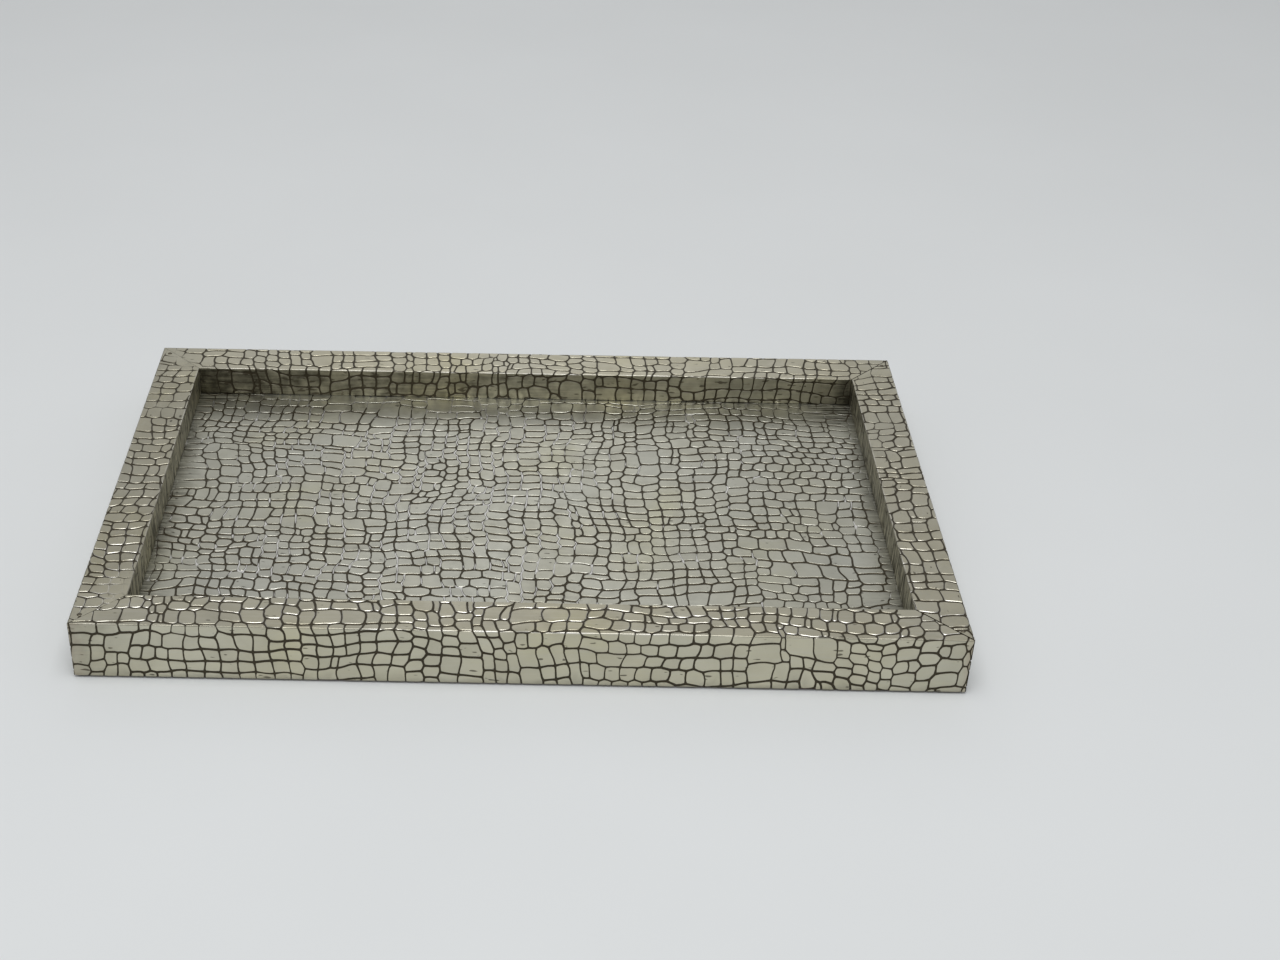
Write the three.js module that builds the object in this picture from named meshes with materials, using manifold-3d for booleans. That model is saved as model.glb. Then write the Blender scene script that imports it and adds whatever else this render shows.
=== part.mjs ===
// A low rectangular tray: four mitred wooden rails round a flat base, all clad in thin folded metal sheet.
// Millimetres, +Z up, origin on the ground in the middle of the underside, +X to the right, +Y to the back.
import * as THREE from "three";
import { mergeVertices } from "three/addons/utils/BufferGeometryUtils.js";
import Module from "manifold-3d";

// Overall sizes of the finished tray
const trayWidth = 380;
const trayDepth = 245;
const railWidth = 21.5;
const recessDepth = 15;

// Stock that the tray is made from
const boardThickness = 12;
const sheetThickness = 0.4;
const feltThickness = 1;
const glueLine = 0.1;

// Folded sheet on the rails
const foldRadius = 0.8;
const flangeWidth = 10;
const lipWidth = 3;

// Joints between the wooden pieces
const mitreGap = 0.3;
const rabbetWidth = 10;
const boardGap = 0.5;
const keyLeg = 30;
const keyThickness = 3;
const keyRise = 1.5;
const keyClearance = 0.2;

// Base skin and felt
const skinLap = 4;
const feltInset = 1.5;
const feltCornerRadius = 3;

// Pins: domed ones through the skins at the corners, flat ones under the felt
const pinClearance = 0.2;
const cornerPin = { shank: 0.55, head: 1.15, rise: 0.3, length: 9, tip: 1.6 };
const cornerPinFromSide = 4;
const cornerPinFromEnd = 6.5;
const boardPin = { shank: 0.7, head: 1.5, rise: 0.8, length: 19, tip: 2 };
const boardPinIntoRabbet = 4;
const boardPinSpacing = 85;

// Smoothness of round forms, and how far a cutting shape runs past the face it cuts
const foldSegments = 4;
const pinSegments = 14;
const headSegments = 3;
const overcut = 2;

// Heights that follow from the stock, from the ground up
const boardTop = feltThickness + boardThickness;
const floorHeight = boardTop + glueLine + sheetThickness;
const lipHeight = floorHeight + glueLine;
const rimHeight = floorHeight + recessDepth;
const coreInset = sheetThickness + glueLine;
const rabbetWall = railWidth - rabbetWidth;
const keyHeight = lipHeight + coreInset + keyRise;

const wood = { color: 0xa98358, roughness: 0.8, metalness: 0 };
const whiteMetal = { color: 0xa5a391, roughness: 0.42, metalness: 0.85 };
const brass = { color: 0x6f6a55, roughness: 0.45, metalness: 0.9 };
const steel = { color: 0x8d8f92, roughness: 0.4, metalness: 1 };
const felt = { color: 0x4a2a24, roughness: 1, metalness: 0 };

const wasm = await Module();
wasm.setup();

// One named piece with a material of its own.
function piece(name, geometry, finish) {
  const mesh = new THREE.Mesh(geometry, new THREE.MeshStandardMaterial(finish));
  mesh.name = name;
  return mesh;
}

// A closed geometry as a solid for cutting and joining.
function solidOf(geometry) {
  const bare = geometry.clone();
  bare.deleteAttribute("normal");
  bare.deleteAttribute("uv");
  const merged = mergeVertices(bare);
  const vertProperties = new Float32Array(merged.getAttribute("position").array);
  const triVerts = new Uint32Array(merged.index.array);
  return new wasm.Manifold(new wasm.Mesh({ numProp: 3, vertProperties, triVerts }));
}

// A solid as a geometry with flat-shaded faces.
function geometryOf(solid) {
  const mesh = solid.getMesh();
  const shared = new THREE.BufferGeometry();
  shared.setAttribute("position", new THREE.BufferAttribute(mesh.vertProperties, mesh.numProp));
  shared.setIndex(new THREE.BufferAttribute(mesh.triVerts, 1));
  const flat = shared.toNonIndexed();
  flat.computeVertexNormals();
  return flat;
}

// The body with every cutter taken away.
function cut(body, cutters) {
  const carved = cutters.reduce((solid, cutter) => solid.subtract(solidOf(cutter)), solidOf(body));
  return geometryOf(carved);
}

// A closed outline of right-angled corners, each given as its point and its rounding radius.
function roundedOutline(corners) {
  const shape = new THREE.Shape();
  corners.forEach(([point, radius], i) => {
    const before = corners.at(i - 1)[0];
    const after = corners[(i + 1) % corners.length][0];
    if (radius === 0) {
      if (i === 0) shape.moveTo(point.x, point.y);
      else shape.lineTo(point.x, point.y);
      return;
    }
    const arriving = point.clone().sub(before).normalize();
    const leaving = after.clone().sub(point).normalize();
    const centre = point.clone().addScaledVector(leaving, radius).addScaledVector(arriving, -radius);
    const clockwise = arriving.cross(leaving) < 0;
    shape.absarc(centre.x, centre.y, radius, leaving.negate().angle(), arriving.angle(), clockwise);
  });
  shape.closePath();
  return shape;
}

const sharp = (x, y) => [new THREE.Vector2(x, y), 0];

// The four folds of a rail's sheet, seen along the rail: x runs inwards from the outer face, y upwards.
// They go round the rail from its foot outside to its lip inside, at one depth below the sheet's face.
function foldCorners(depth) {
  const outer = depth;
  const inner = railWidth - depth;
  const radius = foldRadius - depth;
  return [
    [new THREE.Vector2(outer, feltThickness + depth), radius],
    [new THREE.Vector2(outer, rimHeight - depth), radius],
    [new THREE.Vector2(inner, rimHeight - depth), radius],
    [new THREE.Vector2(inner, lipHeight + depth), radius],
  ];
}

// The sheet: a flange under the rail, the outer face, the top, the inner wall and a lip on the base skin.
function skinProfile() {
  const lipEnd = railWidth - lipWidth;
  return roundedOutline([
    sharp(flangeWidth, feltThickness),
    ...foldCorners(0),
    sharp(lipEnd, lipHeight),
    sharp(lipEnd, lipHeight + sheetThickness),
    ...foldCorners(sheetThickness).reverse(),
    sharp(flangeWidth, feltThickness + sheetThickness),
  ]);
}

// The wooden rail inside the sheet, with the rabbet for the base board cut out of its inner foot.
function coreProfile() {
  return roundedOutline([
    sharp(rabbetWall, feltThickness + coreInset),
    ...foldCorners(coreInset),
    sharp(rabbetWall, lipHeight + coreInset),
  ]);
}

// A rail's profile run along X, with both ends mitred at 45 degrees towards the inside of the tray.
function mitredRail(profile, length) {
  const geometry = new THREE.ExtrudeGeometry(profile, {
    depth: 1,
    bevelEnabled: false,
    curveSegments: foldSegments,
  });
  const endCut = mitreGap / Math.SQRT2;
  const position = geometry.getAttribute("position");
  for (let i = 0; i < position.count; i += 1) {
    const inward = position.getX(i);
    const up = position.getY(i);
    const side = position.getZ(i) > 0.5 ? 1 : -1;
    position.setXYZ(i, side * (length / 2 - inward - endCut), inward, up);
  }
  geometry.computeVertexNormals();
  return geometry;
}

// A triangular feather whose square corner sits in the outer corner of the wooden frame, at the origin's side.
// The slot for it is the same shape, grown by a clearance and run out past the outer faces.
function cornerKey(clearance, runOut) {
  const from = coreInset - runOut;
  const leg = keyLeg + clearance * Math.SQRT2;
  const shape = new THREE.Shape();
  shape.moveTo(from, from);
  shape.lineTo(coreInset + leg + runOut, from);
  shape.lineTo(from, coreInset + leg + runOut);
  shape.closePath();
  const geometry = new THREE.ExtrudeGeometry(shape, {
    depth: keyThickness + 2 * clearance,
    bevelEnabled: false,
  });
  geometry.translate(0, 0, keyHeight - clearance);
  return geometry;
}

// A pin standing on its point or hanging from its head, turned from one profile: the head's top is at rise.
function pinGeometry({ shank, head, rise, length, tip }, domed) {
  const profile = [new THREE.Vector2(0, rise - length), new THREE.Vector2(shank, rise - length + tip)];
  profile.push(new THREE.Vector2(shank, 0), new THREE.Vector2(head, 0));
  if (domed) {
    for (let i = 1; i < headSegments; i += 1) {
      const angle = (i / headSegments) * (Math.PI / 2);
      profile.push(new THREE.Vector2(head * Math.cos(angle), rise * Math.sin(angle)));
    }
  } else {
    profile.push(new THREE.Vector2(head, rise));
  }
  profile.push(new THREE.Vector2(0, rise));
  return new THREE.LatheGeometry(profile, pinSegments).rotateX(Math.PI / 2);
}

// A straight round hole along Z between two heights.
function hole(radius, x, y, bottom, top) {
  const geometry = new THREE.CylinderGeometry(radius, radius, top - bottom, pinSegments);
  geometry.rotateX(Math.PI / 2);
  geometry.translate(x, y, (bottom + top) / 2);
  return geometry;
}

// The rails: name, length, distance from the middle to the outer face, and turn about Z.
const rails = [
  { side: "front", length: trayWidth, reach: trayDepth / 2, turn: 0 },
  { side: "right", length: trayDepth, reach: trayWidth / 2, turn: Math.PI / 2 },
  { side: "back", length: trayWidth, reach: trayDepth / 2, turn: Math.PI },
  { side: "left", length: trayDepth, reach: trayWidth / 2, turn: -Math.PI / 2 },
];

// Places along a rail of the pins that hold the base board, evenly spread between the inner corners.
function boardPinPlaces(length) {
  const span = length - 2 * railWidth;
  const count = Math.max(2, Math.round(span / boardPinSpacing));
  return Array.from({ length: count }, (_, i) => ((i + 0.5) / count - 0.5) * span);
}

const boardPinInward = rabbetWall + boardPinIntoRabbet;
const boardPinBottom = feltThickness;
const boardPinTop = boardPinBottom + boardPin.length;
const cornerPinBottom = rimHeight + cornerPin.rise - cornerPin.length;
const tray = new THREE.Group();

for (const { side, length, reach, turn } of rails) {
  const rail = new THREE.Group();
  rail.rotation.z = turn;
  rail.position.set(reach * Math.sin(turn), -reach * Math.cos(turn), 0);
  tray.add(rail);

  // A slot at each end for half of the corner key: the second is the first seen in a mirror across the rail.
  const slotAtStart = cornerKey(keyClearance, overcut).translate(-length / 2, 0, 0);
  const slotAtEnd = cornerKey(keyClearance, overcut).rotateZ(Math.PI / 2).translate(length / 2, 0, 0);
  const coreCuts = [slotAtStart, slotAtEnd];
  const skinCuts = [];

  // Holes for the corner pins, in the side rails only.
  if (side === "left" || side === "right") {
    for (const end of [-1, 1]) {
      const along = end * (length / 2 - cornerPinFromEnd);
      const radius = cornerPin.shank + pinClearance;
      const pinHole = hole(radius, along, cornerPinFromSide, cornerPinBottom - pinClearance, rimHeight + overcut);
      coreCuts.push(pinHole);
      skinCuts.push(pinHole);
    }
  }

  // Holes in the rail, and the pins in them, for the base board.
  boardPinPlaces(length).forEach((along, i) => {
    const radius = boardPin.shank + pinClearance;
    coreCuts.push(hole(radius, along, boardPinInward, boardTop, boardPinTop + pinClearance));
    const pin = pinGeometry(boardPin, false);
    pin.rotateX(Math.PI);
    pin.translate(along, boardPinInward, boardPinBottom + boardPin.rise);
    rail.add(piece(`board_pin_${side}_${i + 1}`, pin, steel));
  });

  const core = cut(mitredRail(coreProfile(), length), coreCuts);
  const skin = cut(mitredRail(skinProfile(), length), skinCuts);
  rail.add(piece(`rail_core_${side}`, core, wood));
  rail.add(piece(`rail_skin_${side}`, skin, whiteMetal));
}

// The corners: a wooden key across each mitre, and a domed pin through the end of the side rail's skin.
const corners = [
  { place: "front_left", x: -1, y: -1, turn: 0 },
  { place: "front_right", x: 1, y: -1, turn: Math.PI / 2 },
  { place: "back_right", x: 1, y: 1, turn: Math.PI },
  { place: "back_left", x: -1, y: 1, turn: -Math.PI / 2 },
];

for (const { place, x, y, turn } of corners) {
  const key = piece(`corner_key_${place}`, cornerKey(0, 0), wood);
  key.rotation.z = turn;
  key.position.set((x * trayWidth) / 2, (y * trayDepth) / 2, 0);
  const pin = piece(`corner_pin_${place}`, pinGeometry(cornerPin, true), brass);
  const pinX = x * (trayWidth / 2 - cornerPinFromSide);
  const pinY = y * (trayDepth / 2 - cornerPinFromEnd);
  pin.position.set(pinX, pinY, rimHeight);
  tray.add(key, pin);
}

// The base board, let into the rabbets from below, with a countersunk hole for each of its pins.
const boardWidth = trayWidth - 2 * (rabbetWall + boardGap);
const boardDepth = trayDepth - 2 * (rabbetWall + boardGap);
const boardBlank = new THREE.BoxGeometry(boardWidth, boardDepth, boardThickness);
boardBlank.translate(0, 0, feltThickness + boardThickness / 2);
const boardCuts = rails.flatMap(({ length, reach, turn }) =>
  boardPinPlaces(length).flatMap((along) => {
    const headTop = boardPinBottom + boardPin.rise + pinClearance;
    const shankHole = hole(boardPin.shank + pinClearance, along, boardPinInward - reach, 0, boardTop + overcut);
    const headHole = hole(boardPin.head + pinClearance, along, boardPinInward - reach, 0, headTop);
    return [shankHole.rotateZ(turn), headHole.rotateZ(turn)];
  }),
);
tray.add(piece("base_board", cut(boardBlank, boardCuts), wood));

// The base skin, glued on the board with its edges caught under the lips of the rail skins.
const skinWidth = trayWidth - 2 * (railWidth - skinLap);
const skinDepth = trayDepth - 2 * (railWidth - skinLap);
const baseSkin = new THREE.BoxGeometry(skinWidth, skinDepth, sheetThickness);
baseSkin.translate(0, 0, floorHeight - sheetThickness / 2);
tray.add(piece("base_skin", baseSkin, whiteMetal));

// The felt, cut a little smaller than the underside, with rounded corners.
const feltX = trayWidth / 2 - feltInset;
const feltY = trayDepth / 2 - feltInset;
const feltOutline = roundedOutline(
  [[-1, -1], [1, -1], [1, 1], [-1, 1]].map(([x, y]) => [
    new THREE.Vector2(x * feltX, y * feltY),
    feltCornerRadius,
  ]),
);
const feltSheet = new THREE.ExtrudeGeometry(feltOutline, { depth: feltThickness, bevelEnabled: false });
tray.add(piece("felt_backing", feltSheet, felt));

export default tray;
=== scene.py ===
import math
import random

import bmesh
import bpy
from mathutils import Matrix, Vector, noise


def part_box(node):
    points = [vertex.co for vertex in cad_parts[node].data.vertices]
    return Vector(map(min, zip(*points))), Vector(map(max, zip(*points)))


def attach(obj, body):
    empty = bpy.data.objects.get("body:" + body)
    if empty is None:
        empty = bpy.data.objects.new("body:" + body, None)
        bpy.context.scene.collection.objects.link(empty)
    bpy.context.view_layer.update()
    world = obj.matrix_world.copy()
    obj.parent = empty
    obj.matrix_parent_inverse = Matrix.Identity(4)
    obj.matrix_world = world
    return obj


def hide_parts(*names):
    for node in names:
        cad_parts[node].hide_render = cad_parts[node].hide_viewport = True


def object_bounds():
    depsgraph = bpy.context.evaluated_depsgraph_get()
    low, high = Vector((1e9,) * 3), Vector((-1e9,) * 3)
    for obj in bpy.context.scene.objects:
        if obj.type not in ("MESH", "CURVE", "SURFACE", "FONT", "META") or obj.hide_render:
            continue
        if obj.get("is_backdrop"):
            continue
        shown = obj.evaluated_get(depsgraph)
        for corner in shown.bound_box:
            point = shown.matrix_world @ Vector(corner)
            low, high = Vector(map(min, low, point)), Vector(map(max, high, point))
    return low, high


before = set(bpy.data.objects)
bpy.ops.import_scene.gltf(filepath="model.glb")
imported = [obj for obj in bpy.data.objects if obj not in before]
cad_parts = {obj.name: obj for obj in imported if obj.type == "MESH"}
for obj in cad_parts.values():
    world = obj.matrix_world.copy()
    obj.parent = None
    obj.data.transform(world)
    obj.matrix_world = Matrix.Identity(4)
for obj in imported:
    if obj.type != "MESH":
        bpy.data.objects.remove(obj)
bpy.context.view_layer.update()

# Wooden rails.
# Planed softwood, mitred at the ends and rabbeted underneath for the base board. The metal hides the wood,
# so it shows only as dark lines in the mitres.
MM = 0.001


def add_node(tree, kind, inputs=None, **settings):
    """Adds a node to the tree, makes its settings, and fills or links its inputs."""
    node = tree.nodes.new(kind)
    for name, value in settings.items():
        setattr(node, name, value)
    for name, value in (inputs or {}).items():
        if isinstance(value, bpy.types.NodeSocket):
            tree.links.new(value, node.inputs[name])
        else:
            node.inputs[name].default_value = value
    return node


def ramp(tree, factor, stops):
    """A colour ramp through the stops, each a position and a colour or a grey value."""
    node = add_node(tree, "ShaderNodeValToRGB", {"Fac": factor})
    elements = node.color_ramp.elements
    while len(elements) < len(stops):
        elements.new(0.5)
    for element, (position, colour) in zip(elements, stops):
        element.position = position
        element.color = (*colour, 1) if isinstance(colour, tuple) else (colour, colour, colour, 1)
    return node.outputs["Color"]


def new_group(name, inputs, outputs):
    """An empty shader node group with these sockets, and its input and output nodes."""
    group = bpy.data.node_groups.new(name, "ShaderNodeTree")
    kinds = {"vector": "NodeSocketVector", "value": "NodeSocketFloat", "colour": "NodeSocketColor"}
    for socket, kind in inputs.items():
        group.interface.new_socket(socket, in_out="INPUT", socket_type=kinds[kind])
    for socket, kind in outputs.items():
        group.interface.new_socket(socket, in_out="OUTPUT", socket_type=kinds[kind])
    return group, group.nodes.new("NodeGroupInput"), group.nodes.new("NodeGroupOutput")


def noise_texture(tree, place, scale, detail, distortion=0.0):
    """The value of a noise texture at a place."""
    inputs = {"Vector": place, "Scale": scale, "Detail": detail, "Distortion": distortion}
    return add_node(tree, "ShaderNodeTexNoise", inputs).outputs["Fac"]


def maths(tree, operation, first, second=0.0, third=0.0):
    """The result of a sum."""
    return add_node(tree, "ShaderNodeMath", {0: first, 1: second, 2: third}, operation=operation).outputs[0]


def start_material(name):
    """A new material with an empty node tree, its shader, and the object's own coordinates."""
    material = bpy.data.materials.new(name)
    material.use_nodes = True
    tree = material.node_tree
    tree.nodes.clear()
    shader = tree.nodes.new("ShaderNodeBsdfPrincipled")
    output = tree.nodes.new("ShaderNodeOutputMaterial")
    tree.links.new(shader.outputs["BSDF"], output.inputs["Surface"])
    place = tree.nodes.new("ShaderNodeTexCoord").outputs["Object"]
    return material, tree, shader, place


def feed_shader(tree, shader, colour, rough, height, strength, depth):
    """Links a colour, a roughness and a bump of some depth to the shader."""
    bump = add_node(tree, "ShaderNodeBump", {"Height": height, "Strength": strength, "Distance": depth})
    tree.links.new(colour, shader.inputs["Base Color"])
    tree.links.new(rough, shader.inputs["Roughness"])
    tree.links.new(bump.outputs["Normal"], shader.inputs["Normal"])


def wood_grain_group():
    """Streaks along the grain: growth bands, fine fibres and the height of the planed surface."""
    outputs = {"Bands": "value", "Height": "value"}
    group, given, result = new_group("wood_grain", {"Along": "vector"}, outputs)
    growth_bands = noise_texture(group, given.outputs["Along"], scale=90.0, detail=4.0)
    fibres = noise_texture(group, given.outputs["Along"], scale=700.0, detail=3.0)
    streaks = maths(group, "MULTIPLY", growth_bands, fibres)
    group.links.new(streaks, result.inputs["Bands"])
    group.links.new(maths(group, "MULTIPLY", streaks, 1.6), result.inputs["Height"])
    return group


wood_grain = wood_grain_group()


def wood_material(name, stretch, dark, pale):
    """Bare wood whose grain is drawn out along the axis with the smallest stretch."""
    material, tree, shader, place = start_material(name)
    along = add_node(tree, "ShaderNodeMapping", {"Vector": place, "Scale": stretch}).outputs["Vector"]
    grain = add_node(tree, "ShaderNodeGroup", {"Along": along}, node_tree=wood_grain).outputs
    colour = ramp(tree, grain["Bands"], [(0.12, dark), (0.42, pale)])
    rough = ramp(tree, grain["Bands"], [(0.1, 0.85), (0.5, 0.65)])
    feed_shader(tree, shader, colour, rough, grain["Height"], strength=0.4, depth=0.2 * MM)
    return material


def dress(node, material):
    """Gives a CAD node one material."""
    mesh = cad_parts[node].data
    mesh.materials.clear()
    mesh.materials.append(material)


rail_wood_dark, rail_wood_pale = (0.20, 0.11, 0.05), (0.46, 0.30, 0.15)
long_rail_wood = wood_material("long_rail_wood", (0.08, 1, 1), rail_wood_dark, rail_wood_pale)
side_rail_wood = wood_material("side_rail_wood", (1, 0.08, 1), rail_wood_dark, rail_wood_pale)
dress("rail_core_front", long_rail_wood)
dress("rail_core_back", long_rail_wood)
dress("rail_core_left", side_rail_wood)
dress("rail_core_right", side_rail_wood)

# Corner keys.
# Thin triangular feathers of birch ply that stiffen the mitres. Each is glued into a saw cut across its
# corner and planed flush with the rails.
key_wood = wood_material("key_wood", (0.3, 0.3, 6), (0.34, 0.22, 0.11), (0.60, 0.44, 0.26))
for corner in ("front_left", "front_right", "back_right", "back_left"):
    dress(f"corner_key_{corner}", key_wood)

# Base board.
# One piece of brown fibreboard, set into the rails' rabbets from below. The base skin covers its top and
# the felt its underside.
board_wood = wood_material("board_wood", (0.7, 0.7, 0.7), (0.21, 0.13, 0.07), (0.36, 0.24, 0.13))
dress("base_board", board_wood)

# Board pins.
# Bright pins of drawn steel with flat heads. They are driven up through the board into the rails, and the
# felt covers their heads.


def pin_material(name, dark, pale, roughness):
    """Drawn metal with faint rings of the wire's drawing and a little tarnish."""
    material, tree, shader, place = start_material(name)
    along = add_node(tree, "ShaderNodeMapping", {"Vector": place, "Scale": (1, 1, 0.2)}).outputs["Vector"]
    spots = noise_texture(tree, along, scale=1400.0, detail=3.0)
    colour = ramp(tree, spots, [(0.35, dark), (0.65, pale)])
    rough = ramp(tree, spots, [(0.3, roughness + 0.15), (0.7, roughness)])
    shader.inputs["Metallic"].default_value = 1.0
    feed_shader(tree, shader, colour, rough, spots, strength=0.3, depth=0.05 * MM)
    return material


board_pin_steel = pin_material("board_pin_steel", (0.24, 0.24, 0.24), (0.52, 0.52, 0.53), 0.3)
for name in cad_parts:
    if name.startswith("board_pin_"):
        dress(name, board_pin_steel)

# Embossed rail skins.
# Thin white-metal sheet rolled with a crocodile grain, folded round each rail from a flange underneath to
# a lip on the base, and mitred. Its grooves keep a dark patina. Its folds carry a painted highlight with
# some real rubbing, and its tops and inner walls carry painted shade.
low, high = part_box("rail_skin_front")
rail_width = (high.y - low.y) / MM
rail_foot = low.z / MM
rim_height = high.z / MM
tray_width = 2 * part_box("rail_skin_right")[1].x / MM
tray_depth = 2 * rail_width - 2 * high.y / MM
floor_low, floor_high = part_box("base_skin")
sheet_thickness = (floor_high.z - floor_low.z) / MM
lip_gap = 0.1
lip_height = floor_high.z / MM + lip_gap

fold_radius = 0.35
fold_steps = 3
fold_border = 0.6
flange_width = 10
lip_width = 3
spare_end = 0.5
mitre_border = 0.35

# The stretches of the sheet across its width: flat ones, and the folds between them.
fold_length = fold_radius * math.pi / 2
stretches = [
    ("flange", flange_width - fold_radius),
    ("foot_fold", fold_length),
    ("face", rim_height - rail_foot - 2 * fold_radius),
    ("rim_fold", fold_length),
    ("top", rail_width - 2 * fold_radius),
    ("inner_fold", fold_length),
    ("wall", rim_height - lip_height - 2 * fold_radius),
    ("lip_fold", fold_length),
    ("lip", lip_width - fold_radius),
]
starts = {}
skin_width = 0
for stretch, length in stretches:
    starts[stretch] = skin_width
    skin_width += length


def smooth_step(low_edge, high_edge, value):
    """0 below the low edge, 1 above the high edge, and a smooth climb between."""
    t = min(max((value - low_edge) / (high_edge - low_edge), 0), 1)
    return t * t * (3 - 2 * t)


def patches(along, across, length, width, seed):
    """Soft random patches of this length and width, from about -1 to 1."""
    return noise.noise(Vector((along / length, across / width, seed)))


def fold_place(across):
    """Where a point of the sheet's face lies in the rail's section, and the way its face points there."""
    point = Vector((flange_width, rail_foot))
    heading = Vector((-1, 0))
    for stretch, length in stretches:
        step = min(across - starts[stretch], length)
        outward = Vector((-heading.y, heading.x))
        if not stretch.endswith("fold"):
            if across <= starts[stretch] + length or stretch == "lip":
                return point + heading * step, outward
            point = point + heading * length
        else:
            angle = step / fold_radius
            centre = point - outward * fold_radius
            turned = Matrix.Rotation(-angle, 2) @ outward
            if across <= starts[stretch] + length:
                return centre + turned * fold_radius, turned
            point = centre + turned * fold_radius
            heading = Matrix.Rotation(-math.pi / 2, 2) @ heading
    return point, outward


# The grain's cells are blocks of about two by two half steps, in line or staggered, with areas of larger
# plates. The weights tell how often blocks of 1, 2, 3 and 4 half steps come.
block_spans = (1, 2, 3, 4)
cell_length_weights = (0.03, 1, 0.2, 0)
cell_width_weights = (0.012, 1, 0.16, 0)
plate_length_weights = (0.03, 1, 1.6, 1.4)
plate_width_weights = (0.012, 1, 1, 0.3)
keep_joints = 7
keep_rows = 6
avoid_slivers = 0.1
longest_run = 5
sheet_margin = 14

# The net's corners are shifted by parts of a half step, and its lines waver over long, middling and short
# distances.
jitter_along = 0.2
jitter_across = 0.18
long_edge = 0.8
wander_height = 6.5
ripple_height = 2.4
wiggle_height = 0.9
smoothing_rounds = 2

# A groove as pressed has this depth, and the deepest one is this many times as deep. A deeper groove is
# wider too. The cells' corners are eased where grooves meet, and where their rims and grooves carry painted
# glints and reflections with real wear, they lose most of the patina.
groove_depth = 0.28
deepest = 1.15
least_width = 0.45
added_width = 0.6
longest_step = 1.5
corner_easing = 0.22
rim_wear_and_glint = 0.8
palest_cell = 1.05
darkest_cell = 0.95


def lay_blocks(columns, rows, plate_places, rng, seed):
    """Covers a grid of half steps with blocks of one to four steps each way, and tells each square's block.
    Noise picks the areas whose blocks stand in line, in columns or in larger plates."""
    owner = {}
    for row in range(rows):
        for column in range(columns):
            if (column, row) in owner:
                continue
            spot = Vector((column * 0.06, row * 0.07, seed))
            in_line = noise.noise(spot) > 0.08
            in_columns = noise.noise(spot * 0.8 + Vector((0, 60, 0))) > 0.05
            plates = noise.noise(spot * 0.9 + Vector((40, 0, 0))) > 0.3
            for x, y, reach in plate_places:
                plates = plates or math.hypot(column - x, row - y) < reach
            run = 1
            while run < longest_run and column + run < columns and (column + run, row) not in owner:
                run += 1
            left_top = row
            while (column - 1, left_top) in owner:
                left_top += 1
            choices = []
            weights = []
            for wide in block_spans:
                for tall in block_spans:
                    if wide > run or row + tall > rows:
                        continue
                    weight = (plate_length_weights if plates else cell_length_weights)[wide - 1]
                    weight *= (plate_width_weights if plates else cell_width_weights)[tall - 1]
                    below = owner.get((column + wide - 1, row - 1))
                    ends_below = below != owner.get((column + wide, row - 1))
                    weight *= keep_joints if ends_below == (in_line or in_columns) else 1
                    ends_row = row + tall == left_top
                    weight *= keep_rows if ends_row != (in_columns and not in_line) else 1
                    weight *= avoid_slivers if run - wide == 1 and run < longest_run else 1
                    choices.append((wide, tall))
                    weights.append(weight)
            wide, tall = rng.choices(choices, weights)[0] if choices else (1, 1)
            for x in range(column, column + wide):
                for y in range(row, row + tall):
                    owner[(x, y)] = (column, row)
    return owner


def grain_cells(length, width, half_step, plate_places, seed):
    """A flat net of grain cells, a little larger than the sheet, drawn and wrinkled as hide is."""
    half_length, half_row = half_step
    rng = random.Random(seed)
    noise.seed_set(seed)
    columns = math.ceil((length + 2 * sheet_margin) / half_length)
    rows = math.ceil((width + 2 * sheet_margin) / half_row)
    bm = bmesh.new()
    bmesh.ops.create_grid(bm, x_segments=columns, y_segments=rows, size=0.5)
    bmesh.ops.scale(bm, vec=(columns, rows, 1), verts=bm.verts)
    bmesh.ops.translate(bm, vec=(columns / 2, rows / 2, 0), verts=bm.verts)
    on_grid = []
    for along, across, reach in plate_places:
        column = along / half_length + columns / 2
        row = (across - width / 2) / half_row + rows / 2
        on_grid.append((column, row, reach / half_length))
    owner = lay_blocks(columns, rows, on_grid, rng, seed)
    inside = []
    for edge in bm.edges:
        if not edge.is_boundary:
            first, second = (face.calc_center_median() for face in edge.link_faces)
            if owner[int(first.x), int(first.y)] == owner[int(second.x), int(second.y)]:
                inside.append(edge)
    bmesh.ops.dissolve_edges(bm, edges=inside, use_verts=False, use_face_split=False)
    for vert in bm.verts:
        shift_along = rng.uniform(-jitter_along, jitter_along)
        shift_across = rng.uniform(-jitter_across, jitter_across)
        vert.co.x = (vert.co.x - columns / 2 + shift_along) * half_length
        vert.co.y = (vert.co.y - rows / 2 + shift_across) * half_row + width / 2
    long_edges = [edge for edge in bm.edges if edge.calc_length() > long_edge * half_row]
    bmesh.ops.bisect_edges(bm, edges=long_edges, cuts=1)
    inner = [vert for vert in bm.verts if not vert.is_boundary]
    for vert in inner:
        p = vert.co
        wander = noise.noise_vector(Vector((p.x / 62, p.y / 52, seed))) * wander_height
        ripple = noise.noise_vector(Vector((p.x / 17, p.y / 14, seed + 9.7))) * ripple_height
        wiggle = noise.noise_vector(Vector((p.x / 5.5, p.y / 5.5, seed + 31.3))) * wiggle_height
        vert.co += Vector((wander.x + ripple.x + wiggle.x, wander.y + ripple.y * 0.8 + wiggle.y, 0))
    for _ in range(smoothing_rounds):
        bmesh.ops.smooth_vert(bm, verts=inner, factor=0.5, use_axis_x=True, use_axis_y=True)
    return bm, rng


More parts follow.
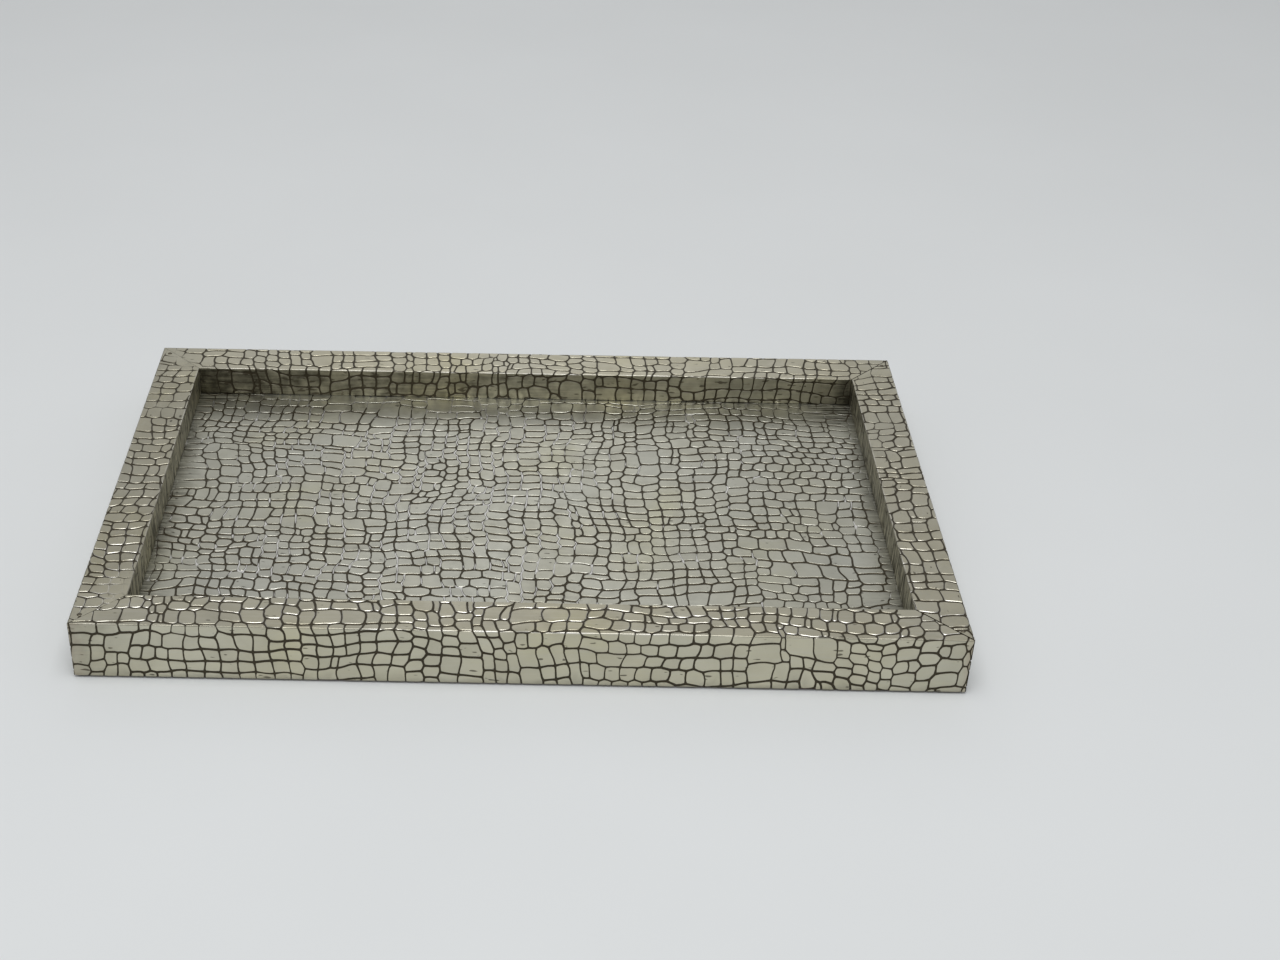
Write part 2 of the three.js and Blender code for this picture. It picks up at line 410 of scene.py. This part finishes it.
def press_grain(bm, rng, rings, spread, look, bare_and_reflection, rim_glint_and_wear):
    """Sinks the grooves between the cells: three insets make a groove's floor, its walls and a cell's rim.
    Each ring has a width, how deep its far side lies and how dark it is. spread widens the grooves that
    run one way. look tells how deep a groove is. The next function tells how much of a groove's patina is
    rubbed out and its floor painted bright as a reflection, and the last how much painted glint with real
    wear the cells' rims get. A groove straight across the sheet is 1 upright, and one along it 0."""
    layers = bm.verts.layers.float
    groove, tone, polish_and_glint = layers.new("groove"), layers.new("tone"), layers.new("polish_and_glint")
    depth_of, bare_and_reflection_of, junctions = {}, {}, set()
    for vert in bm.verts:
        spans = [edge.verts[0].co - edge.verts[1].co for edge in vert.link_edges]
        uprights = [abs(span.y) / span.length for span in spans]
        depths = sorted((look(vert.co.x, vert.co.y, upright) for upright in uprights), reverse=True)
        depth_of[vert] = sum(depths[:2]) / 2
        bare_and_reflection_of[vert] = max(bare_and_reflection(vert.co.x, vert.co.y, upright) for upright in uprights)
        if len(spans) > 2:
            junctions.add(vert)
    for vert, depth in depth_of.items():
        vert[groove] = depth * (1 - bare_and_reflection_of[vert])
        vert[polish_and_glint] = bare_and_reflection_of[vert]
        vert[tone] = 1
        vert.co.z = -groove_depth * depth
    cells = list(bm.faces)
    shades = {cell: rng.uniform(darkest_cell, palest_cell) for cell in cells}
    for number, (width, sunk, darkness) in enumerate(rings):
        bmesh.ops.inset_individual(bm, faces=cells, thickness=width, depth=0, use_even_offset=True)
        below, bare_and_reflection_below, corners_below = depth_of, bare_and_reflection_of, junctions
        depth_of, bare_and_reflection_of, junctions = {}, {}, set()
        for cell in cells:
            ring = set(cell.verts)
            spots = {}
            for vert in ring:
                others = (edge.other_vert(vert) for edge in vert.link_edges)
                source = next(other for other in others if other not in ring)
                depth_of[vert] = below[source]
                bare_and_reflection_of[vert] = bare_and_reflection_below[source]
                if source in corners_below:
                    junctions.add(vert)
                widening = least_width + added_width * min(below[source], deepest)
                step = (vert.co - source.co).to_2d() * widening
                if step.length > longest_step * width:
                    step = step.normalized() * longest_step * width
                if number < 2:
                    step = Vector((step.x * spread[0], step.y * spread[1]))
                spots[vert] = source.co.to_2d() + step
            loop = [corner.vert for corner in cell.loops]
            for i, vert in enumerate(loop):
                spot = spots[vert]
                if vert in junctions and number == 0:
                    beside = (spots[loop[i - 1]] + spots[loop[(i + 1) % len(loop)]]) / 2
                    spot = spot.lerp(beside, corner_easing)
                vert.co = (spot.x, spot.y, -groove_depth * sunk * depth_of[vert])
                vert[groove] = darkness * depth_of[vert]
                vert[polish_and_glint] = 0
                # Painted reflection in the groove floors, partly rubbed patina.
                if number == 0:
                    vert[groove] *= 1 - rim_wear_and_glint * bare_and_reflection_of[vert]
                    vert[polish_and_glint] = bare_and_reflection_of[vert]
                # A painted glint on the cells' rims, partly real wear.
                if number == 1:
                    glint_and_wear = rim_glint_and_wear(spot.x, spot.y)
                    vert[groove] *= 1 - rim_wear_and_glint * glint_and_wear
                    vert[polish_and_glint] = glint_and_wear
                vert[tone] = shades[cell]
    for face in bm.faces:
        face.smooth = True
    for cell in cells:
        for edge in cell.edges:
            edge.smooth = False


def slice_at(bm, point, normal, clear_outer=False):
    """Cuts everything along a plane."""
    geometry = list(bm.verts) + list(bm.edges) + list(bm.faces)
    bmesh.ops.bisect_plane(bm, geom=geometry, plane_co=point, plane_no=normal, clear_outer=clear_outer)


def cut_to(bm, low_x, high_x, low_y, high_y):
    """Cuts the sheet to a rectangle and closes it with a rim and a plain back."""
    sides = (
        ((low_x, 0, 0), (-1, 0, 0)),
        ((high_x, 0, 0), (1, 0, 0)),
        ((0, low_y, 0), (0, -1, 0)),
        ((0, high_y, 0), (0, 1, 0)),
    )
    for point, outward in sides:
        slice_at(bm, point, outward, clear_outer=True)
    edge_loop = [edge for edge in bm.edges if edge.is_boundary]
    rim = bmesh.ops.extrude_edge_only(bm, edges=edge_loop)["geom"]
    for vert in (part for part in rim if isinstance(part, bmesh.types.BMVert)):
        vert.co.z = -sheet_thickness
    bmesh.ops.holes_fill(bm, edges=[edge for edge in bm.edges if edge.is_boundary], sides=0)
    for edge in edge_loop:
        edge.smooth = False


def finish_mesh(name, bm, material):
    """Turns a bmesh in millimetres into a piece in metres on the tray's one body."""
    bmesh.ops.recalc_face_normals(bm, faces=bm.faces)
    bmesh.ops.scale(bm, vec=(MM, MM, MM), verts=bm.verts)
    mesh = bpy.data.meshes.new(name)
    bm.to_mesh(mesh)
    bm.free()
    mesh.materials.append(material)
    piece = bpy.data.objects.new(name, mesh)
    bpy.context.scene.collection.objects.link(piece)
    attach(piece, "root")
    return piece


brushed_metal = (0.66, 0.65, 0.60)
rubbed_and_glint_metal = (0.84, 0.83, 0.81)
shade_and_soot_brown = (0.066, 0.061, 0.042)
dash_brown = (0.06, 0.05, 0.035)
rust_brown = (0.30, 0.13, 0.075)
groove_brown = (0.046, 0.037, 0.020)


def patina_group():
    """Tarnish, rubbing, brush marks, painted shade and painted glints of old white metal, from the mesh's
    marks.
    """
    inputs = {
        "Place": "vector",
        "Streaks": "vector",
        "Dashes": "vector",
        "Plate": "colour",
        "Hatching": "value",
        "Groove": "value",
        "Soot_and_shade": "value",
        "Polish_and_glint": "value",
        "Rust": "value",
        "Tone": "value",
    }
    outputs = {"Colour": "colour", "Roughness": "value", "Metal": "value", "Height": "value"}
    group, given, result = new_group("patina", inputs, outputs)
    get = given.outputs

    def mix(factor, first, second, blend="MIX"):
        node = add_node(group, "ShaderNodeMix", data_type="RGBA", blend_type=blend)
        for socket, value in ((0, factor), (6, first), (7, second)):
            if isinstance(value, bpy.types.NodeSocket):
                group.links.new(value, node.inputs[socket])
            elif isinstance(value, tuple):
                node.inputs[socket].default_value = (*value, 1)
            else:
                node.inputs[socket].default_value = value
        return node.outputs[2]

    mottle = noise_texture(group, get["Place"], scale=24.0, detail=3.0)
    grime = noise_texture(group, get["Place"], scale=210.0, detail=4.0)
    specks = noise_texture(group, get["Dashes"], scale=520.0, detail=1.0)
    brush = noise_texture(group, get["Streaks"], scale=800.0, detail=3.0)

    # The plates: a tint in cloudy patches, a tone for each cell with painted shade and light on it, brush
    # marks, and metal rubbed bright with painted glints.
    tints = [(0.34, (1.0, 1.005, 1.01)), (0.6, (1.0, 0.99, 0.95)), (0.75, (1.0, 0.985, 0.86))]
    tint = ramp(group, mottle, tints)
    plate = mix(1.0, mix(1.0, get["Plate"], tint, "MULTIPLY"), get["Tone"], "MULTIPLY")
    brushed = mix(ramp(group, brush, [(0.45, 0.0), (0.8, 0.25)]), plate, brushed_metal)
    # Painted glints and reflections, partly real rubbing, from the polish mark.
    rubbed_and_glinting = mix(get["Polish_and_glint"], brushed, rubbed_and_glint_metal)

    # The dirt and painted shade: blotchy or hatched soot that also carries painted shade, small dark
    # dashes, and a little rust.
    blotchy = maths(group, "MULTIPLY_ADD", grime, 0.9, 0.45)
    hatched = maths(group, "MULTIPLY", maths(group, "MULTIPLY_ADD", brush, 7.0, -3.6), get["Hatching"])
    streaky = maths(group, "MAXIMUM", maths(group, "ADD", blotchy, hatched), 0.0)
    shade_and_soot_share = maths(group, "MINIMUM", maths(group, "MULTIPLY", get["Soot_and_shade"], streaky), 0.96)
    with_shade_and_soot = mix(shade_and_soot_share, rubbed_and_glinting, shade_and_soot_brown)
    speckled = maths(group, "MULTIPLY_ADD", get["Soot_and_shade"], 0.12, specks)
    spotted = mix(ramp(group, speckled, [(0.73, 0.0), (0.77, 0.75)]), with_shade_and_soot, dash_brown)
    rusted = mix(maths(group, "MULTIPLY", get["Rust"], grime), spotted, rust_brown)

    # The grooves: dark patina with ragged edges.
    ragged = maths(group, "ADD", get["Groove"], maths(group, "MULTIPLY_ADD", grime, 0.5, -0.25))
    dark = ramp(group, ragged, [(0.14, 0.0), (0.38, 1.0)])
    group.links.new(mix(dark, rusted, groove_brown), result.inputs["Colour"])

    clean_rough = maths(group, "MULTIPLY_ADD", grime, 0.22, 0.24)
    rough = maths(group, "MULTIPLY_ADD", get["Soot_and_shade"], 0.22, clean_rough)
    group.links.new(rough, result.inputs["Roughness"])
    group.links.new(maths(group, "MULTIPLY_ADD", dark, -0.4, 1.0), result.inputs["Metal"])
    brush_height = maths(group, "MULTIPLY", brush, 0.25)
    height = maths(group, "ADD", maths(group, "MULTIPLY", grime, 0.6), brush_height)
    group.links.new(height, result.inputs["Height"])
    return group


patina = patina_group()


def white_metal(name, plate, streak_turn, streak_stretch, dash_stretch, hatching):
    """Embossed white metal, its brush marks and dashes drawn out along one direction."""
    material, tree, shader, place = start_material(name)
    drawn_out = {"Vector": place, "Rotation": streak_turn, "Scale": streak_stretch}
    streaks = add_node(tree, "ShaderNodeMapping", drawn_out)
    dashes = add_node(tree, "ShaderNodeMapping", {"Vector": place, "Scale": dash_stretch})
    given = {
        "Place": place,
        "Streaks": streaks.outputs["Vector"],
        "Dashes": dashes.outputs["Vector"],
        "Plate": (*plate, 1),
        "Hatching": hatching,
    }
    for mark in ("groove", "soot_and_shade", "polish_and_glint", "rust", "tone"):
        given[mark.capitalize()] = add_node(tree, "ShaderNodeAttribute", attribute_name=mark).outputs["Fac"]
    aged = add_node(tree, "ShaderNodeGroup", given, node_tree=patina).outputs
    tree.links.new(aged["Metal"], shader.inputs["Metallic"])
    colour, rough, height = aged["Colour"], aged["Roughness"], aged["Height"]
    feed_shader(tree, shader, colour, rough, height, strength=0.35, depth=0.12 * MM)
    return material


# How open each mitre stands, how dirty it is, and how worn the grain is beside it, from 0 for as pressed to
# 1 for rubbed flat. At the mitres the tops of all rails get the same painted shade.
corner_top_shade = 0.17
mitre_gap = {"front_left": 0.1, "front_right": 0.34, "back_right": 0.2, "back_left": 0.1}
mitre_dirt = {"front_left": 0.3, "front_right": 1.0, "back_right": 0.7, "back_left": 0.2}
mitre_wear = {"front_left": 0.6, "front_right": 0.1, "back_right": 0.5, "back_left": 0.85}


def rail_skin(side, length, turn, reach, ends, seed, marks, material):
    """Presses, folds, mitres and places the skin of one rail. ends are the corners at its two ends."""
    rim_middle = starts["rim_fold"] + fold_length / 2
    inner_middle = starts["inner_fold"] + fold_length / 2

    def look(along, across, upright):
        """How deep a groove is: less so at a worn mitre, beside a fold and in a few shallow patches."""
        depth = 0.92 + 0.45 * patches(along, across, 21, 17, seed + 5.5)
        if across < rim_middle:
            depth *= marks["face"]
        elif across < inner_middle:
            cross_share = 1 + (marks["top_cross"] - 1) * upright
            along_share = 1 + (marks["top_along"] - 1) * (1 - upright)
            depth *= marks["top"] * cross_share * along_share
        else:
            depth *= marks["wall"] * (0.6 + 0.4 * upright)
        inward = fold_place(min(max(across, 0), skin_width))[0].x
        room = length / 2 - inward - abs(along)
        wear = mitre_wear[ends[0] if along < 0 else ends[1]] * (0.35 if across < rim_middle else 1)
        depth *= 1 - wear * (1 - smooth_step(1, 17, room + 7 * patches(along, across, 9, 9, seed + 3.3)))
        depth *= 1 - 0.5 * smooth_step(0.25, 0.55, patches(along, across, 38, 22, seed + 50))
        fold_gap = min(abs(across - rim_middle), abs(across - inner_middle))
        return min(deepest, depth * (0.6 + 0.4 * smooth_step(0.3, 0.9, fold_gap)))

    def bare_and_reflection(along, across, upright):
        """The rails' grooves keep all of their patina and get no painted reflection."""
        return 0

    def rim_glint_and_wear(along, across):
        """The painted glint with real wear on the cells' rims: in patches, and only inwards of the rim's
        outer fold.
        """
        patch = patches(along, across, 12, 9, seed + 26)
        near, far = marks["rim_glint_and_wear"]
        glint_and_wear = max(0, near + (far - near) * (along / length + 0.5)) * min(1, max(0, 0.45 + 1.8 * patch))
        return min(1, glint_and_wear) * smooth_step(rim_middle - 1, rim_middle + 1, across)

    bm, rng = grain_cells(length, skin_width, marks["half_step"], marks["plate_places"], seed)
    press_grain(bm, rng, rail_rings, marks["spread"], look, bare_and_reflection, rim_glint_and_wear)
    cut_to(bm, -length / 2 - spare_end, length / 2 + spare_end, 0, skin_width)
    for stretch, span in stretches:
        if stretch.endswith("fold"):
            for step in range(fold_steps + 1):
                slice_at(bm, (0, starts[stretch] + span * step / fold_steps, 0), (0, 1, 0))
    for middle in (rim_middle, inner_middle):
        slice_at(bm, (0, middle - fold_border, 0), (0, 1, 0))
        slice_at(bm, (0, middle + fold_border, 0), (0, 1, 0))

    layers = bm.verts.layers.float
    soot_and_shade, rust, polish_and_glint, tone = layers.new("soot_and_shade"), layers.new("rust"), layers["polish_and_glint"], layers["tone"]
    for vert in bm.verts:
        along, across, depth = vert.co
        across = min(max(across, 0), skin_width)
        spot, outward = fold_place(across)
        room = length / 2 - spot.x - abs(along)
        patch = patches(along, across, 11, 8, seed + 71)
        smudge = patches(along, across, 7, 1.3, seed + 17)
        on_wall = smooth_step(starts["wall"] - 1, starts["wall"] + 1, across)
        on_face = 1 - smooth_step(starts["rim_fold"], starts["top"], across)
        # Painted shade with some soot on the inner wall: in its lower seam, by the mitres and along its
        # length.
        seam_shade = smooth_step(4, 0.5, starts["lip_fold"] - across + 2.5 * patch)
        corner = smooth_step(16, 1, room + 4 * patch)
        near, far = marks["wall_shade_and_soot"]
        general = near + (far - near) * (along / length + 0.5) + 0.2 * patch
        wall_shade_and_soot = max(marks["wall_seam_shade"] * seam_shade, corner, general) * on_wall
        # The outer face gets darker towards its foot.
        foot = 0.5 * smooth_step(starts["face"] + 2, starts["face"] - 1.5, across)
        near, far = marks["end_smudge"]
        end_smudge = on_face * smooth_step(32, 4, room + 8 * patch) * (near if along < 0 else far)
        on_top = (1 - on_face) * (1 - on_wall)
        # Painted shade on the rail's top, with its own amount by the mitres.
        top_shade_here = corner_top_shade + (marks["top_shade"] - corner_top_shade) * smooth_step(0, 32, room + 6 * patch)
        vert[tone] *= 1 - top_shade_here * on_top
        vert[soot_and_shade] = min(1, max(wall_shade_and_soot, foot, end_smudge, 0.04 + 0.15 * patch))
        # A painted highlight along the folds, partly real rubbing, and painted shade on the folds where the
        # highlight is left out.
        fold_glint_and_rub = 1 - smooth_step(0.25, 0.55, min(abs(across - rim_middle), abs(across - inner_middle)))
        peak, centre, fade = marks["fold_glint"]
        bright = peak * smooth_step(fade, fade / 2, abs(along - centre)) - 0.2 + 0.7 * smudge
        vert[polish_and_glint] = max(vert[polish_and_glint], fold_glint_and_rub * min(0.7, max(0, bright)))
        vert[tone] *= 1 - 0.4 * fold_glint_and_rub * smooth_step(0.3, -0.2, bright)
        vert[rust] = 0.3 * on_face * smooth_step(4, 0.5, length / 2 - abs(along) + 2 * patch)
        vert.co = (along, spot.x + outward.x * depth, spot.y + outward.y * depth)

    for end, corner in ((-1, ends[0]), (1, ends[1])):
        end_cut = mitre_gap[corner] / math.sqrt(2)
        slice_at(bm, ((length / 2 - end_cut - mitre_border) * end, 0, 0), (end, 1, 0))
        slice_at(bm, ((length / 2 - end_cut) * end, 0, 0), (end, 1, 0), clear_outer=True)
        for vert in bm.verts:
            if vert.co.x * end + vert.co.y > length / 2 - end_cut - 0.01:
                vert[bm.verts.layers.float["groove"]] = mitre_dirt[corner]
        mitre_edges = [edge for edge in bm.edges if edge.is_boundary]
        for edge in mitre_edges:
            edge.smooth = False
        bmesh.ops.holes_fill(bm, edges=mitre_edges, sides=0)

    place = Matrix.Rotation(turn, 4, "Z") @ Matrix.Translation((0, -reach, 0))
    bmesh.ops.transform(bm, matrix=place, verts=bm.verts)
    piece = finish_mesh(f"embossed_skin_{side}", bm, material)
    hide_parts(f"rail_skin_{side}")


# The three insets: width, how deep the far side lies and how dark it is, as shares of the groove's own.
rail_rings = ((0.20, 1.0, 1.0), (0.13, 0.45, 0.45), (0.18, 0.0, 0.0))
rail_plate = (0.60, 0.575, 0.46)
long_metal = white_metal("white_metal_long_rails", rail_plate, (0, 0, 0), (0.06, 1, 1), (0.35, 1, 1), 0.12)
side_metal = white_metal("white_metal_side_rails", rail_plate, (0.5, 0, 0), (1, 1, 0.1), (1, 0.35, 1), 1.0)

# What tells the rails apart. For the grain: its half steps, the places of its larger plates, how wide its
# grooves spread each way, and their depth on the outer face, the top and the wall. For wear, dirt and
# painted light, where a pair gives both ends of the rail: painted glints with real wear on the rims, the
# painted highlight on the folds, the painted shade on the top, painted shade with soot on the wall and
# painted shade in its lower seam, and smudges on the outer face.
front_marks = {
    "half_step": (3.2, 3.35), "plate_places": ((100, 23, 13), (124, 23, 13)), "spread": (1.0, 1.45),
    "face": 0.94, "top": 1.12, "top_cross": 1, "top_along": 1.2, "wall": 0.5,
    "rim_glint_and_wear": (1.25, 1.1), "fold_glint": (0.6, 10, 95), "top_shade": 0.19,
    "wall_shade_and_soot": (0.3, 0.3), "wall_seam_shade": 1.0, "end_smudge": (0.3, 0.15),
}
right_marks = {
    "half_step": (3.1, 3.3), "plate_places": (), "spread": (1.5, 1.0),
    "face": 1.0, "top": 1.05, "top_cross": 1.2, "top_along": 0.9, "wall": 0.2,
    "rim_glint_and_wear": (1.2, -0.4), "fold_glint": (0.4, 20, 130), "top_shade": 0.22,
    "wall_shade_and_soot": (0.6, 0.65), "wall_seam_shade": 0.8, "end_smudge": (0.2, 0.2),
}
back_marks = {
    "half_step": (3.2, 3.3), "plate_places": (), "spread": (1.0, 1.5),
    "face": 1.0, "top": 0.95, "top_cross": 1, "top_along": 1.15, "wall": 1.15,
    "rim_glint_and_wear": (0.0, 0.0), "fold_glint": (0.5, 0, 220), "top_shade": 0.07,
    "wall_shade_and_soot": (0.39, 0.93), "wall_seam_shade": 0.4, "end_smudge": (0.2, 0.2),
}
left_marks = {
    "half_step": (3.1, 3.35), "plate_places": (), "spread": (1.5, 1.0),
    "face": 1.0, "top": 0.95, "top_cross": 1.2, "top_along": 0.7, "wall": 0.2,
    "rim_glint_and_wear": (-0.8, 1.4), "fold_glint": (0.4, -20, 130), "top_shade": 0.3,
    "wall_shade_and_soot": (0.5, 0.5), "wall_seam_shade": 0.8, "end_smudge": (0.2, 0.2),
}
quarter = math.pi / 2
reach_x, reach_y = tray_width / 2, tray_depth / 2
rail_skin("front", tray_width, 0, reach_y, ("front_left", "front_right"), 11, front_marks, long_metal)
rail_skin("right", tray_depth, quarter, reach_x, ("front_right", "back_right"), 23, right_marks, side_metal)
rail_skin("back", tray_width, 2 * quarter, reach_y, ("back_right", "back_left"), 37, back_marks, long_metal)
rail_skin("left", tray_depth, -quarter, reach_x, ("back_left", "front_left"), 41, left_marks, side_metal)

# Corner pins.
# Small domed pins, darkened with age. They are hammered through the ends of the side rails' skins into the
# wood underneath.
corner_pin_metal = pin_material("corner_pin_metal", (0.07, 0.06, 0.045), (0.22, 0.20, 0.15), 0.42)
for corner in ("front_left", "front_right", "back_right", "back_left"):
    dress(f"corner_pin_{corner}", corner_pin_metal)

# Base skin.
# One flat piece of the same embossed sheet, glued on the board. Its grain is rubbed away along the side
# walls. Painted shade with some dark polish lies at its edges and corners, its sides are painted a little
# darker and the strip by the back wall lighter, and some front-to-back grooves are painted bright as
# reflections.
floor_length = (floor_high.x - floor_low.x) / MM
floor_width = (floor_high.y - floor_low.y) / MM
open_x = tray_width / 2 - rail_width
open_y = tray_depth / 2 - rail_width


def base_look(along, across, upright):
    """How deep a groove of the base stands, from its flat place and how far it runs from front to back."""
    y = across - floor_width / 2
    patch = patches(along, y, 10, 10, 7.7)
    depth = 0.9 + 0.45 * patches(along, y, 24, 18, 61.3)
    depth *= 1.25 - 0.25 * upright
    depth *= 0.2 + 0.8 * smooth_step(0, 6, open_x - abs(along) + 5 * patch)
    depth *= 0.5 + 0.5 * smooth_step(4, 20, open_y - y + 4 * patch)
    depth *= 0.45 + 0.55 * smooth_step(0, 5, open_y + y + 4 * patch)
    return min(deepest, depth * (1 - 0.4 * smooth_step(0.15, 0.5, patches(along, y, 45, 30, 19.1))))


def base_bare_and_reflection(along, across, upright):
    """How far the patina is rubbed out and the floor painted bright as a reflection: mostly front-to-back
    grooves, left of the middle.
    """
    place = smooth_step(110, 40, abs(along + 45))
    patch = patches(along, across - floor_width / 2, 12, 9, 33.7)
    return 0.95 * smooth_step(0.6, 0.95, upright) * smooth_step(0.3, 0.6, 0.45 * place + 0.1 + 1.1 * patch)


def base_rim_glint_and_wear(along, across):
    """The painted glint with real wear on the cells' rims: only here and there."""
    return 0.5 * smooth_step(0.2, 0.5, patches(along, across, 12, 10, 52.5))


base_rings = ((0.20, 1.0, 1.0), (0.14, 0.3, 0.45), (0.12, 0.0, 0.0))
base_plates = ((80, 12, 15), (-104, 150, 13), (-18, 170, 13))
bm, rng = grain_cells(floor_length, floor_width, (3.25, 3.1), base_plates, 612)
press_grain(bm, rng, base_rings, (1.0, 1.75), base_look, base_bare_and_reflection, base_rim_glint_and_wear)
cut_to(bm, -floor_length / 2, floor_length / 2, 0, floor_width)
layers = bm.verts.layers.float
soot_and_shade, rust = layers.new("soot_and_shade"), layers.new("rust")
for vert in bm.verts:
    x, y = vert.co.x, vert.co.y - floor_width / 2
    patch = patches(x, y, 12, 9, 88)
    from_side, from_end = open_x - abs(x), open_y - abs(y)
    from_corner = math.hypot(from_side, from_end) + 8 * patch
    # Painted shade with some soot along the side walls, in the seams at their foot and in the corners;
    # faint soot elsewhere.
    side_shade_and_soot, corner_shade_and_soot, corner_reach = (0.25, 1.8, 38) if x > 0 else (0.34, 1.4, 30)
    side = 1.6 * smooth_step(10, 0, from_side + 5 * patch)
    back = smooth_step(24, 2, open_y - y + 6 * patch)
    seam_shade = smooth_step(0.9, 0.2, min(from_side, from_end))
    corner = corner_shade_and_soot * smooth_step(corner_reach, 6, from_corner) * (1 if y > 0 else 0.7)
    general = 0.05 + 0.15 * patch
    vert[soot_and_shade] = min(1, max(side_shade_and_soot * side, 0.04 * back, 0.6 * seam_shade, 0.5 * corner, general))
    vert[rust] = 0
    # Painted shade and light: the base is a little darker towards its sides, and the strip by the back wall
    # lighter, less so towards its corners.
    to_side = smooth_step(60, 150, abs(x))
    to_corner = smooth_step(50, 125, x if x > 0 else -x - 25)
    vert[layers["tone"]] *= (1 - 0.08 * to_side) * (1 + (0.78 - 0.6 * to_corner) * back)
bmesh.ops.translate(bm, vec=(0, -floor_width / 2, floor_high.z / MM), verts=bm.verts)
base_plate = (0.54, 0.54, 0.472)
base_metal = white_metal("white_metal_base", base_plate, (0, 0, 0), (0.06, 1, 1), (0.4, 1, 1), 0.6)
base = finish_mesh("embossed_base", bm, base_metal)
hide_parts("base_skin")

# Felt backing.
# Dark red-brown pressed wool, cut a little smaller than the tray and glued over its whole underside. Its
# cut edges are soft.
felt_low, felt_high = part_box("felt_backing")
felt_corner = 3
felt_edge = 0.25


def felt_material():
    """Pressed wool: tangled fibres in two sizes, lint, and a soft sheen."""
    material, tree, shader, place = start_material("felt")
    tangle = noise_texture(tree, place, scale=900.0, detail=6.0, distortion=1.4)
    clouds = noise_texture(tree, place, scale=45.0, detail=2.0)
    wool = maths(tree, "MULTIPLY", maths(tree, "ADD", tangle, clouds), 0.5)
    colour = ramp(tree, wool, [(0.36, (0.045, 0.014, 0.010)), (0.62, (0.125, 0.042, 0.032))])
    rough = ramp(tree, tangle, [(0.3, 1.0), (0.7, 0.85)])
    shader.inputs["Sheen Weight"].default_value = 0.3
    shader.inputs["Sheen Roughness"].default_value = 0.5
    feed_shader(tree, shader, colour, rough, tangle, strength=0.8, depth=0.3 * MM)
    return material


bm = bmesh.new()
bmesh.ops.create_cube(bm, size=1)
felt_size = (felt_high - felt_low) / MM
bmesh.ops.scale(bm, vec=felt_size, verts=bm.verts)
bmesh.ops.translate(bm, vec=(felt_low + felt_high) / 2 / MM, verts=bm.verts)
uprights = [e for e in bm.edges if abs(e.verts[0].co.z - e.verts[1].co.z) > felt_size.z / 2]
bmesh.ops.bevel(
    bm,
    geom=uprights,
    offset=felt_corner,
    segments=6,
    profile=0.5,
    affect="EDGES",
    material=-1,
    clamp_overlap=False,
)
under = [e for e in bm.edges if all(v.co.z < felt_low.z / MM + 0.01 for v in e.verts)]
rim = [e for e in under if any(abs(f.normal.z) < 0.5 for f in e.link_faces)]
bmesh.ops.bevel(bm, geom=rim, offset=felt_edge, segments=3, profile=0.5, affect="EDGES", material=-1)
felt_piece = finish_mesh("felt_sheet", bm, felt_material())
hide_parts("felt_backing")

# Studio.
# A floor of matt pale paper, with a soft box overhead and a little in front, two weak panels behind, and an
# even pale surround.


def floor_material():
    """Matt pale paper with a faint tooth."""
    material, tree, shader, place = start_material("studio_paper")
    tooth = noise_texture(tree, place, scale=6.0, detail=3.0)
    colour = ramp(tree, tooth, [(0.3, (0.665, 0.685, 0.692)), (0.7, (0.68, 0.70, 0.708))])
    tree.links.new(colour, shader.inputs["Base Color"])
    shader.inputs["Roughness"].default_value = 0.9
    shader.inputs["Specular IOR Level"].default_value = 0.2
    return material


bm = bmesh.new()
bmesh.ops.create_grid(bm, x_segments=1, y_segments=1, size=8)
paper_mesh = bpy.data.meshes.new("studio_floor")
bm.to_mesh(paper_mesh)
bm.free()
paper_mesh.materials.append(floor_material())
paper = bpy.data.objects.new("studio_floor", paper_mesh)
bpy.context.scene.collection.objects.link(paper)
paper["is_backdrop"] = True


def soft_light(name, place, aim, width, depth, power):
    """A rectangular soft box that points at a spot."""
    lamp = bpy.data.lights.new(name, "AREA")
    lamp.shape = "RECTANGLE"
    lamp.size = width
    lamp.size_y = depth
    lamp.energy = power
    holder = bpy.data.objects.new(name, lamp)
    holder.location = place
    holder.rotation_euler = (Vector(aim) - Vector(place)).to_track_quat("-Z", "Y").to_euler()
    bpy.context.scene.collection.objects.link(holder)


soft_light("overhead_soft_box", (-0.04, -0.5, 1.8), (0, -0.1, 0), 1.3, 1.5, 24.2)
soft_light("back_panel", (0, 1.5, 1.05), (0, 0, 0), 1.8, 0.9, 1.55)
soft_light("back_middle_panel", (0, 1.3, 0.88), (0, 0, 0), 0.4, 0.5, 0.22)

world = bpy.data.worlds.new("pale_surround")
bpy.context.scene.world = world
world.use_nodes = True
surround = world.node_tree.nodes["Background"]
surround.inputs["Color"].default_value = (1.0, 1.0, 1.0, 1)
surround.inputs["Strength"].default_value = 0.4

# Camera.
# A short telephoto view from in front and above. The frame is shifted off the lens axis, as in a cropped
# picture.
focal_pixels = 1895.3
frame_pixels = (1280, 960)
axis_pixel = (505.1, 540.0)
camera_place = (0.52 * MM, -759.47 * MM, 501.36 * MM)
camera_pitch, camera_yaw, camera_roll = math.radians(33.816), math.radians(0.648), math.radians(0.697)

lens = bpy.data.cameras.new("camera")
lens.sensor_width = 36
lens.lens = focal_pixels / frame_pixels[0] * lens.sensor_width
lens.shift_x = (frame_pixels[0] / 2 - axis_pixel[0]) / frame_pixels[0]
lens.shift_y = (axis_pixel[1] - frame_pixels[1] / 2) / frame_pixels[0]
camera = bpy.data.objects.new("camera", lens)
turn = Matrix.Rotation(camera_yaw, 4, "Z") @ Matrix.Rotation(math.pi / 2 - camera_pitch, 4, "X")
camera.matrix_world = Matrix.Translation(camera_place) @ turn @ Matrix.Rotation(camera_roll, 4, "Z")
bpy.context.scene.collection.objects.link(camera)
bpy.context.scene.camera = camera
bpy.context.scene.view_settings.view_transform = "Standard"

low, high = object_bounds()
